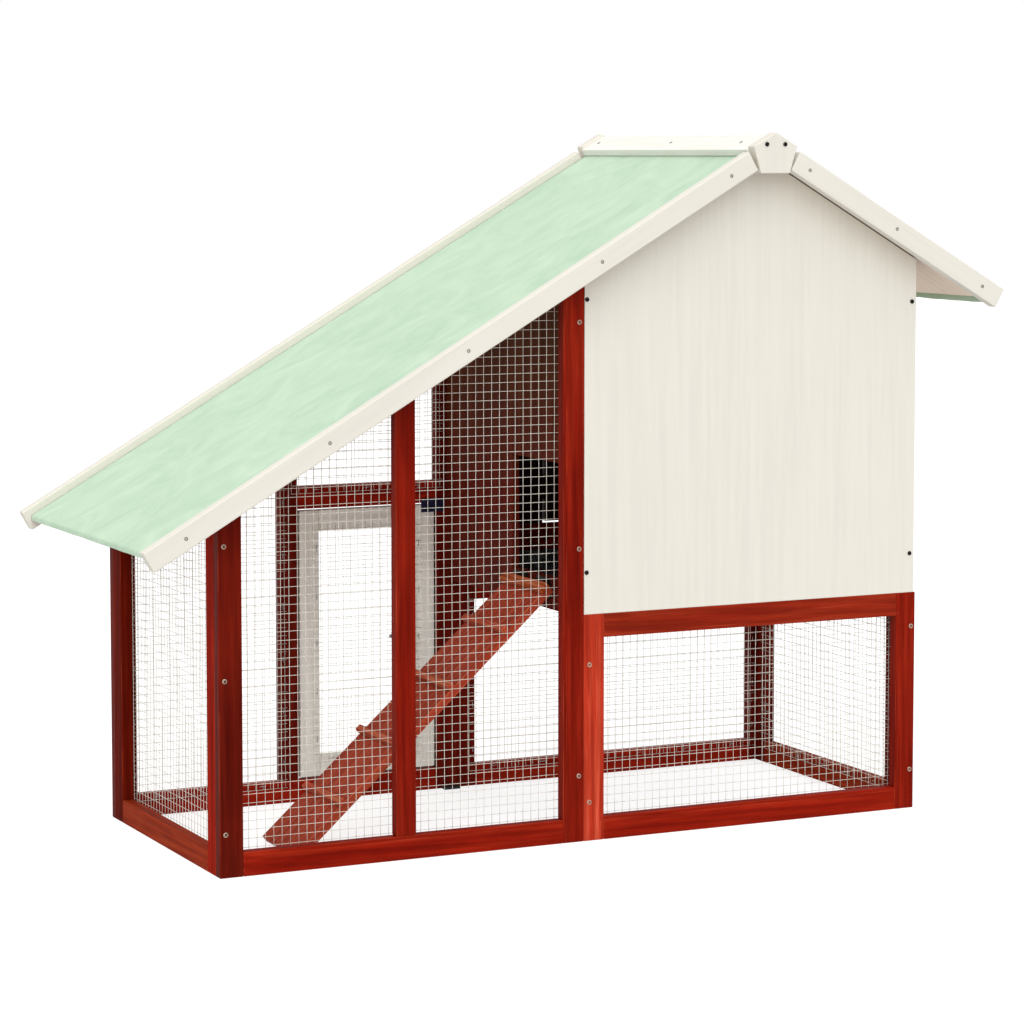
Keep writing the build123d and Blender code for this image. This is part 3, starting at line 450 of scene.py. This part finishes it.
def islands(node):
    """The separate solids of a CAD node, each as a list of its points."""
    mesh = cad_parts[node].data
    spots = {}
    index = [spots.setdefault(tuple(round(c, 6) for c in v.co), len(spots)) for v in mesh.vertices]
    parent = list(range(len(spots)))

    def root(item):
        while parent[item] != item:
            parent[item] = parent[parent[item]]
            item = parent[item]
        return item

    for polygon in mesh.polygons:
        first = root(index[polygon.vertices[0]])
        for vertex in polygon.vertices[1:]:
            parent[root(index[vertex])] = first
    groups = {}
    for spot, item in spots.items():
        groups.setdefault(root(item), []).append(Vector(spot))
    return [groups[key] for key in sorted(groups)]


def extent(points):
    """Lowest and highest corner of some points."""
    low = Vector([min(p[axis] for p in points) for axis in range(3)])
    high = Vector([max(p[axis] for p in points) for axis in range(3)])
    return low, high


# ---- welded wire mesh ----
def wire_panel(node, across, inward, body, material, sloped=False):
    """Upright wires on the frame's inner face, with level wires welded across them."""
    low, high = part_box(node)
    normal = Vector((0, 1, 0)) if across.x else Vector((1, 0, 0))
    start, end = low.dot(across), high.dot(across)
    face = low.dot(normal) if inward > 0 else high.dot(normal)
    random.seed(node)
    tilt = random.uniform(0, 50)

    def top(u):
        return high.z - (end - u) * RISE if sloped else high.z

    def spot(u, v, layer):
        share_u = (u - start) / (end - start)
        share_v = (v - low.z) / (high.z - low.z)
        middle = math.sin(math.pi * share_u) * math.sin(math.pi * min(1.0, share_v))
        swell = WIRE_BULGE * middle * (0.6 + noise.noise(Vector((u * 6, v * 6, tilt))))
        sway_u = WIRE_SWAY * noise.noise(Vector((u * 40, v * 9, tilt + 7)))
        sway_v = WIRE_SWAY * noise.noise(Vector((u * 9, v * 40, tilt + 13)))
        depth = face + inward * (layer + max(0.0, swell))
        return across * (u + sway_u) + normal * depth + UP * (v + sway_v)

    def run(first, last):
        count = max(1, round((last - first) / WIRE_STEP))
        return [first + (last - first) * step / count for step in range(count + 1)]

    wires = Solid()
    u = start + WIRE_R
    while u < end:
        path = [spot(u, v, WIRE_R) for v in run(low.z, top(u))]
        wires.tube(path, WIRE_R, across, normal)
        u += MESH_PITCH
    v = low.z + WIRE_R
    while v < high.z:
        left = max(start, end - (high.z - v) / RISE) if sloped else start
        if end - left > MESH_PITCH:
            path = [spot(u, v, UPPER_WIRE_DEPTH) for u in run(left, end)]
            wires.tube(path, WIRE_R, UP, normal)
        v += MESH_PITCH
    made = wires.piece(f"{node}_wires", material, body, "galvanised_wire")
    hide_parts(node)
    return made


def staples(node, across, inward, body, material):
    """Staples that hold a mesh panel's border to its frame."""
    low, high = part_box(node)
    normal = Vector((0, 1, 0)) if across.x else Vector((1, 0, 0))
    face = high.dot(normal) if inward > 0 else low.dot(normal)
    random.seed(node + "staples")
    start, end = low.dot(across), high.dot(across)
    made = Solid()
    spots = []
    rows = int((high.z - low.z) / STAPLE_PITCH)
    for row in range(rows + 1):
        z = low.z + (high.z - low.z) * (row + 0.5) / (rows + 1)
        spots += [(start + STAPLE_EDGE_GAP, z, UP), (end - STAPLE_EDGE_GAP, z, UP)]
    columns = int((end - start) / STAPLE_PITCH)
    for column in range(columns + 1):
        u = start + (end - start) * (column + 0.5) / (columns + 1)
        spots += [(u, low.z + STAPLE_EDGE_GAP, across)]
    for u, z, along in spots:
        z_top = high.z - (end - u) * RISE if node in SLOPED_MESH else high.z
        if z > z_top - STAPLE_EDGE_GAP:
            continue
        lean = random.uniform(-0.15, 0.15)
        direction = (along + (across if along is UP else UP) * lean).normalized()
        middle = across * u + UP * z
        crown = face + inward * STAPLE_CROWN
        foot = face - inward * STAPLE_LEG
        half = direction * STAPLE_HALF_W
        path = [
            middle - half + normal * foot,
            middle - half + normal * (crown - inward * STAPLE_SHOULDER),
            middle - half * 0.8 + normal * crown,
            middle + half * 0.8 + normal * crown,
            middle + half + normal * (crown - inward * STAPLE_SHOULDER),
            middle + half + normal * foot,
        ]
        side = direction.cross(normal)
        made.tube(path, STAPLE_WIRE_R, side, (direction + normal).normalized())
    return made.piece(f"{node}_staples", material, body, "zinc_plated_steel")


# ---- screws and bolts ----
def screw_head(solid, centre, normal, radius, dome, recess, hexagon=False):
    """Round head on a face: raised rim, domed top, and a cross or hexagon recess."""
    side = normal.orthogonal().normalized()
    other = normal.cross(side)
    rings = [0.16, 0.3, 0.46, 0.62, 0.8, 0.93, 1.0, 1.0]
    start = len(solid.points)
    solid.points.append(centre + normal * (dome - recess))
    for index, share in enumerate(rings):
        for segment in range(HEAD_SEGMENTS):
            turn = 2 * math.pi * segment / HEAD_SEGMENTS
            x, y = share * math.cos(turn), share * math.sin(turn)
            if hexagon:
                inside = share < 0.6
            else:
                inside = share < 0.7 and min(abs(x), abs(y)) < 0.17
            height = dome * (1.0 - 0.45 * share ** 2)
            if index >= 6:
                height = dome * (0.35 if index == 6 else -0.6)
            if inside:
                height = dome - recess * (1.0 - 0.35 * share)
            spoke = side * x + other * y
            solid.points.append(centre + spoke * radius + normal * height)
    for segment in range(HEAD_SEGMENTS):
        after = (segment + 1) % HEAD_SEGMENTS
        solid.faces.append((start, start + 1 + segment, start + 1 + after))
        for ring in range(len(rings) - 1):
            near = start + 1 + ring * HEAD_SEGMENTS
            far = near + HEAD_SEGMENTS
            solid.faces.append((near + segment, far + segment, far + after, near + after))
    base = start + 1 + (len(rings) - 1) * HEAD_SEGMENTS
    solid.faces.append(tuple(base + segment for segment in reversed(range(HEAD_SEGMENTS))))


def outward_of(points):
    """Direction that a screw's head faces."""
    low, high = extent(points)
    middle = (low + high) / 2
    if min(abs(low.y), abs(high.y)) > OUTER_Y - 30 * MM and high.y - low.y > 10 * MM:
        return Vector((0, 1 if middle.y > 0 else -1, 0))
    side = 1 if middle.x > RIDGE_X else -1
    return Vector((side * math.sin(SLOPE), 0, math.cos(SLOPE)))


def fastener_heads(node, material, slot, dome, recess, hexagon=False):
    """Detailed heads in place of a CAD node's plain ones."""
    made = Solid()
    for points in islands(node):
        normal = outward_of(points)
        reach = max(p.dot(normal) for p in points)
        top = [p for p in points if p.dot(normal) > reach - 0.05 * MM]
        centre = sum(top, Vector()) / len(top)
        wide = [(p - centre) - normal * (p - centre).dot(normal) for p in points]
        radius = max(w.length for w in wide)
        screw_head(made, centre - normal * dome, normal, radius, dome, recess, hexagon)
        side = normal.orthogonal().normalized()
        other = normal.cross(normal.orthogonal()).normalized()
        made.tube([centre - normal * dome, centre - normal * SHANK_DEPTH], SHANK_R, side, other, 10)
    piece = made.piece(f"{node}_heads", material, "hutch", slot, smooth=False)
    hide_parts(node)
    return piece


def plate_screws(name, spots, body, material):
    """Small raised-head screws of a hinge or a bolt plate, on faces that look to +Y."""
    made = Solid()
    for spot in spots:
        screw_head(made, spot, Vector((0, 1, 0)), PLATE_SCREW_R, SCREW_DOME, SCREW_DOME)
    return made.piece(name, material, body, "zinc_plated_steel", smooth=False)


def leaf_screw_spots(node, far_side):
    """Three screws in each hinge leaf, near the edge that is away from the pin."""
    spots = []
    for points in islands(node):
        low, high = extent(points)
        x = high.x - LEAF_SCREW_INSET if far_side > 0 else low.x + LEAF_SCREW_INSET
        middle = (low.z + high.z) / 2
        for step in (-LEAF_SCREW_STEP, 0, LEAF_SCREW_STEP):
            spots.append(Vector((x, OUTER_Y + HINGE_LEAF_T, middle + step)))
    return spots


def corner_screw_spots(node):
    """A screw in each corner of a bolt plate or a keeper."""
    spots = []
    for points in islands(node):
        low, high = extent(points)
        for x in (low.x + PLATE_SCREW_INSET, high.x - PLATE_SCREW_INSET):
            for z in (low.z + PLATE_SCREW_INSET, high.z - PLATE_SCREW_INSET):
                spots.append(Vector((x, OUTER_Y + HINGE_LEAF_T, z)))
    return spots


# ---- roofing felt ----
def felt_sheet(node, side, flap, wave, material):
    """Felt of one slope: it lies on the panel and turns down over the eave."""
    low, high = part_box(node)
    half = high.y - 0.4 * MM
    eave_x = high.x if side > 0 else low.x
    straight = abs(eave_x - RIDGE_X) / math.cos(SLOPE) - 2.0 * MM
    turn_down = (math.pi / 2 - SLOPE) * FELT_BEND_R
    rows = [straight * step / FELT_ROWS for step in range(FELT_ROWS + 1)]
    rows += [straight + turn_down * step / 5 for step in range(1, 6)]
    rows += [straight + turn_down + flap * step / 6 for step in range(1, 7)]
    down = Vector((side * math.cos(SLOPE), 0, -math.sin(SLOPE)))
    up = Vector((side * math.sin(SLOPE), 0, math.cos(SLOPE)))
    ridge = Vector((RIDGE_X, 0, APEX_Z - FELT_DEPTH / math.cos(SLOPE)))
    sheet = Solid()
    for travel in rows:
        if travel <= straight:
            spot, face = ridge + down * travel, up
        else:
            turn = min(travel - straight, turn_down) / FELT_BEND_R
            face = up * math.cos(turn) + down * math.sin(turn)
            spot = ridge + down * straight - up * FELT_BEND_R + face * FELT_BEND_R
            if travel > straight + turn_down:
                spot = spot - UP * (travel - straight - turn_down)
        for column in range(FELT_COLUMNS + 1):
            y = -half + 2 * half * column / FELT_COLUMNS
            rise = felt_rise(travel, y, straight, side)
            loose = max(0.0, travel - straight + 8 * MM) / (flap + 8 * MM)
            rise += wave * loose * (noise.noise(Vector((y * 13, side * 3.0, 2.0))) + 0.25)
            drop = -0.4 * wave * loose * noise.noise(Vector((y * 21, side * 5.0, 9.0)))
            sheet.points.append(spot + face * rise + UP * drop + Vector((0, y, 0)))
    width = FELT_COLUMNS + 1
    for row in range(len(rows) - 1):
        for column in range(FELT_COLUMNS):
            corner = row * width + column
            sheet.faces.append((corner, corner + 1, corner + width + 1, corner + width))
    made = sheet.piece(f"{node}_sheet", material, "hutch", "green_roofing_felt")
    solid = made.modifiers.new("thickness", "SOLIDIFY")
    solid.thickness = FELT_T
    solid.offset = 0
    apply_modifiers(made)
    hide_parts(node)
    return made


def felt_rise(travel, y, straight, side):
    """Height of the felt's low ripples, which die out under the ridge planks."""
    free = min(1.0, max(0.0, (travel - 60 * MM) / (120 * MM)))
    ripple = noise.noise(Vector((travel * 5, y * 9, side * 4.0)))
    fine = noise.noise(Vector((travel * 17, y * 22, side * 4.0 + 9)))
    near_end = max(0.0, 1 - (straight - travel) / (70 * MM)) if travel < straight else 1.0
    return free * max(0.0, 0.5 * ripple + 0.22 * fine + 0.25 * near_end) * MM


# ---- run door ----
def rounded_bar(name, low, high, material):
    """Planed bar of the run door between two corners, with rounded arrises."""
    mesh = bpy.data.meshes.new(name)
    work = bmesh.new()
    bmesh.ops.create_cube(work, size=1.0)
    size = high - low
    bmesh.ops.scale(work, verts=work.verts, vec=size)
    bmesh.ops.translate(work, verts=work.verts, vec=(low + high) / 2)
    bmesh.ops.bevel(work, geom=work.edges[:], offset=DOOR_ARRIS, segments=3, profile=0.5, affect="EDGES")
    work.to_mesh(mesh)
    work.free()
    made = add_piece(name, mesh, material, "run_door")
    made.data.set_sharp_from_angle(angle=math.radians(35))
    return made


def run_door_members():
    """Stiles and rails of the mesh door, each with its own grain."""
    low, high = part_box("run_door_frame")
    inner = (low.x + DOOR_MEMBER_W, high.x - DOOR_MEMBER_W)
    stiles = [(low.x, inner[0]), (inner[1], high.x)]
    rails = [(low.z, low.z + DOOR_MEMBER_W), (high.z - DOOR_MEMBER_W, high.z)]
    upright, level = grey_paint("z"), grey_paint("x")
    for side, (x0, x1) in zip(("hinge", "latch"), stiles):
        corners = Vector((x0, low.y, low.z)), Vector((x1, high.y, high.z))
        rounded_bar(f"run_door_{side}_stile", *corners, upright)
    for side, (z0, z1) in zip(("bottom", "top"), rails):
        corners = Vector((inner[0], low.y, z0)), Vector((inner[1], high.y, z1))
        rounded_bar(f"run_door_{side}_rail", *corners, level)
    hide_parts("run_door_frame")


# ---- finishes of the CAD nodes ----
SLOPED_MESH = ("rear_run_mesh", "front_side_mesh", "front_gable_mesh")


def dress(material, *names):
    for name in names:
        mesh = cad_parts[name].data
        mesh.materials.clear()
        mesh.materials.append(material)


def soften(width, *names):
    """Thin bevel on CAD nodes whose edges are square."""
    for name in names:
        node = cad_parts[name]
        weld = node.modifiers.new("weld", "WELD")
        weld.merge_threshold = 0.01 * MM
        bevel = node.modifiers.new("bevel", "BEVEL")
        bevel.width = width
        bevel.segments = 2
        bevel.limit_method = "ANGLE"
        bevel.angle_limit = math.radians(40)
        bevel.harden_normals = False


def finish_wood():
    """Stain and paint of the wooden nodes, with painted shade on the sticks seen from inside the hutch and
    on the house's inside; some stiles and rails change tone along their length.
    """
    pale = tones((150, 36, 18), (178, 54, 33), (208, 88, 62))
    dark = tones((84, 14, 5), (96, 20, 8), (110, 28, 13))
    deep = tones((79, 11, 3), (90, 17, 6), (103, 25, 11))
    warm = tones((124, 28, 13), (139, 38, 18), (158, 52, 30))
    dress(red_stain("z", shade=0.93), "rear_middle_stile", "rear_house_stile")
    dress(red_stain("z", "lower_stile_stain", 0.95, ("x", 0.06, 0.03, pale)), "rear_lower_stiles")
    dress(red_stain("z", "corner_stain", 0.78, ("z", 0.42, 0.12, deep)), "rear_corner_stile")
    dress(red_stain("z", "end_stile_stain", 1.08, ("y", -0.1, 0.1, dark), 0.005), "left_end_stiles")
    # Sticks on the far side and at the right end, whose faces are seen from inside the hutch, get a darker
    # copy of the stain: painted shade.
    dress(red_stain("z", "painted_shade_stain", 0.72), "front_door_post", "right_end_stiles",
          "front_corner_stile", "front_house_stile", "front_lower_stiles")
    dress(red_stain("x", "lower_rail_stain", 1.03, ("z", 0.2, 0.3, warm)), "rear_lower_rails")
    dress(red_stain("x", shade=1.03), "rear_run_rails", "front_run_rails",
          "front_head_rail", "front_lower_rails", "tray_front")
    dress(warm_stain("y"), "left_end_rails", "right_end_rails")
    dress(wall_paint("long_wall_paint", "away_y", *WALL_FACE_Y), "rear_wall_panel",
          "front_wall_boards", "house_door_panel")
    dress(wall_paint("end_wall_paint", "x", *END_WALL_FACE_X), "right_wall_panel")
    dress(cream_paint("z"), "ridge_end_blocks")
    dress(ridge_paint("y"), "ridge_cap_planks")
    dress(cream_paint("slope"), "barge_boards")
    dress(soffit_paint("slope"), "roof_panel_long", "roof_panel_short")
    dress(brown_stain("z"), "partition_boards")
    # Parts inside the house and under the roof: very dark, as painted shade.
    dress(inner_shade_stain("x"), "house_floor")
    dress(inner_shade_stain("z"), "house_corner_posts", "ridge_beam")
    dress(ramp_stain("ramp"), "ramp_board")
    dress(ramp_stain("y"), "ramp_cleats")


def finish_metal_and_plastic():
    zinc = metal("zinc_plate", tone(150, 150, 148), tone(190, 190, 186), 0.34, 1.0, 90.0)
    sheet = metal("galvanised_tray", tone(158, 162, 164), tone(192, 195, 196), 0.4, 1.0, 60.0)
    dress(zinc, "run_door_hinge_leaves", "house_door_hinge_leaves", "hinge_post_leaves",
          "run_door_bolt_plate", "house_door_bolt_plate", "run_door_bolt_rod",
          "house_door_bolt_rod", "bolt_keepers")
    dark = metal("dark_hinge_steel", tone(38, 34, 32), tone(62, 56, 52), 0.5, 0.8, 200.0)
    dress(dark, "ramp_hinge_straps", "ramp_hinge_brackets")
    dress(sheet, "tray_pan")
    dress(plastic("blue_plastic", tone(14, 14, 40), tone(24, 26, 66), 0.42), "door_stop_plate")
    dress(plastic("black_plastic", tone(20, 20, 20), tone(44, 44, 44), 0.5), "post_feet")
    return zinc


def build_wires(zinc):
    wire = metal("galvanised_wire", tone(204, 199, 186), tone(230, 225, 213), 0.4, 0.1, 260.0, 0.02)
    x_way, y_way = Vector((1, 0, 0)), Vector((0, 1, 0))
    panels = [
        ("rear_run_mesh", x_way, 1, "hutch"),
        ("rear_lower_mesh", x_way, 1, "hutch"),
        ("left_end_mesh", y_way, 1, "hutch"),
        ("right_end_mesh", y_way, -1, "hutch"),
        ("front_side_mesh", x_way, -1, "hutch"),
        ("front_gable_mesh", x_way, -1, "hutch"),
        ("front_lower_mesh", x_way, -1, "hutch"),
        ("run_door_mesh", x_way, -1, "run_door"),
    ]
    for node, across, inward, body in panels:
        staples(node, across, inward, body, zinc)
        wire_panel(node, across, inward, body, wire, node in SLOPED_MESH)


def build_fasteners():
    bright = metal("screw_steel", tone(168, 158, 140), tone(214, 204, 186), 0.34, 1.0, 400.0)
    black = metal("black_bolt_steel", tone(14, 14, 14), tone(30, 30, 30), 0.45, 0.6, 400.0)
    fastener_heads("frame_screws", bright, "zinc_plated_steel", SCREW_DOME, 1.5 * MM)
    dull = metal("dull_screw_steel", tone(104, 98, 88), tone(146, 138, 126), 0.42, 0.9, 400.0)
    fastener_heads("roof_screws", dull, "zinc_plated_steel", SCREW_DOME, 1.5 * MM)
    fastener_heads("panel_bolts", black, "black_screw_steel", BOLT_DOME, 1.8 * MM, True)
    for door in ("run_door", "house_door"):
        spots = leaf_screw_spots(f"{door}_hinge_leaves", 1)
        plate_screws(f"{door}_hinge_screws", spots, door, bright)
    plate_screws("hinge_post_screws", leaf_screw_spots("hinge_post_leaves", -1), "hutch", bright)
    for door in ("run_door", "house_door"):
        screws = door.replace("door", "bolt_plate_screws")
        plate_screws(screws, corner_screw_spots(f"{door}_bolt_plate"), door, bright)
    plate_screws("keeper_screws", corner_screw_spots("bolt_keepers"), "hutch", bright)


# ---- studio ----
def light(name, kind, energy, place, aim, **settings):
    data = bpy.data.lights.new(name, kind)
    data.energy = energy
    for key, value in settings.items():
        setattr(data, key, value)
    lamp = bpy.data.objects.new(name, data)
    lamp.location = place
    lamp.rotation_mode = "QUATERNION"
    lamp.rotation_quaternion = (Vector(aim) - Vector(place)).to_track_quat("-Z", "Y")
    bpy.context.scene.collection.objects.link(lamp)


def studio():
    world = bpy.data.worlds.new("studio")
    bpy.context.scene.world = world
    world.use_nodes = True
    tree = world.node_tree
    back = tree.nodes["Background"]
    back.inputs["Color"].default_value = (1, 1, 1, 1)
    place = tree.nodes.new("ShaderNodeTexCoord")
    parts = tree.nodes.new("ShaderNodeSeparateXYZ")
    tree.links.new(place.outputs["Generated"], parts.inputs[0])
    sky = tree.nodes.new("ShaderNodeMapRange")
    sky.inputs["From Min"].default_value = 0.1
    sky.inputs["From Max"].default_value = 0.8
    sky.inputs["To Min"].default_value = 0.6
    sky.inputs["To Max"].default_value = 1.0
    tree.links.new(parts.outputs["Z"], sky.inputs["Value"])
    path = tree.nodes.new("ShaderNodeLightPath")
    seen = tree.nodes.new("ShaderNodeMath")
    seen.operation = "MAXIMUM"
    tree.links.new(path.outputs["Is Camera Ray"], seen.inputs[0])
    tree.links.new(sky.outputs[0], seen.inputs[1])
    tree.links.new(seen.outputs[0], back.inputs["Strength"])

    light("overhead", "SUN", 0.5, (0, 0, 5), (0.15, 0.4, 0), angle=math.radians(60))
    light("key", "SUN", 1.66, (-2.4, -4.6, 3.4), (0, 0, 0.5), angle=math.radians(60))
    bpy.context.scene.view_settings.view_transform = "Standard"


def light_table():
    """Pale floor of a light table: a faint glow and a barely uneven surface."""
    shader = Shader("light_table")
    uneven = shader.noise(shader.place, 3.0, 2.0)
    colour = shader.ramp(uneven, (0.3, (0.34, 0.34, 0.34, 1)), (0.7, (0.37, 0.37, 0.37, 1)))
    seen = shader.node("LightPath").outputs["Is Camera Ray"]
    shader.set(Base_Color=colour, Roughness=0.9, Specular_IOR_Level=0.0)
    shader.set(Emission_Color=(1, 1, 1, 1), Emission_Strength=shader.spread(seen, 0.0, 1.0, 0.42, 0.79))
    mesh = bpy.data.meshes.new("light_table")
    reach = 60.0
    mesh.from_pydata(
        [(-reach, -reach, 0), (reach, -reach, 0), (reach, reach, 0), (-reach, reach, 0)], [], [(0, 1, 2, 3)]
    )
    mesh.materials.append(shader.material)
    floor = bpy.data.objects.new("light_table", mesh)
    floor.location.z = -0.2 * MM
    bpy.context.scene.collection.objects.link(floor)


def camera():
    """Long lens from the run's end, a little above the roof's middle."""
    data = bpy.data.cameras.new("camera")
    data.sensor_width = 36.0
    data.lens = 112.54
    data.shift_y = -0.085
    data.clip_end = 200.0
    yaw = math.radians(25.677)
    pitch = math.radians(4.84)
    ahead = Vector((math.sin(yaw) * math.cos(pitch), math.cos(yaw) * math.cos(pitch), -math.sin(pitch)))
    made = bpy.data.objects.new("camera", data)
    made.location = (-2.1231, -4.4071, 1.0162)
    made.rotation_mode = "QUATERNION"
    made.rotation_quaternion = ahead.to_track_quat("-Z", "Y")
    bpy.context.scene.collection.objects.link(made)
    bpy.context.scene.camera = made


camera()
studio()
light_table()
finish_wood()
soften(BOARD_ARRIS, "rear_wall_panel", "front_wall_boards", "right_wall_panel", "house_corner_posts",
       "partition_boards", "house_floor", "roof_panel_long", "roof_panel_short", "ridge_beam",
       "door_stop_plate")
zinc_plate = finish_metal_and_plastic()
build_wires(zinc_plate)
build_fasteners()
felt = felt_material()
felt_sheet("roof_felt_long", -1, 5 * MM, 0.8 * MM, felt)
felt_sheet("roof_felt_short", 1, 14 * MM, 3.0 * MM, felt)
run_door_members()
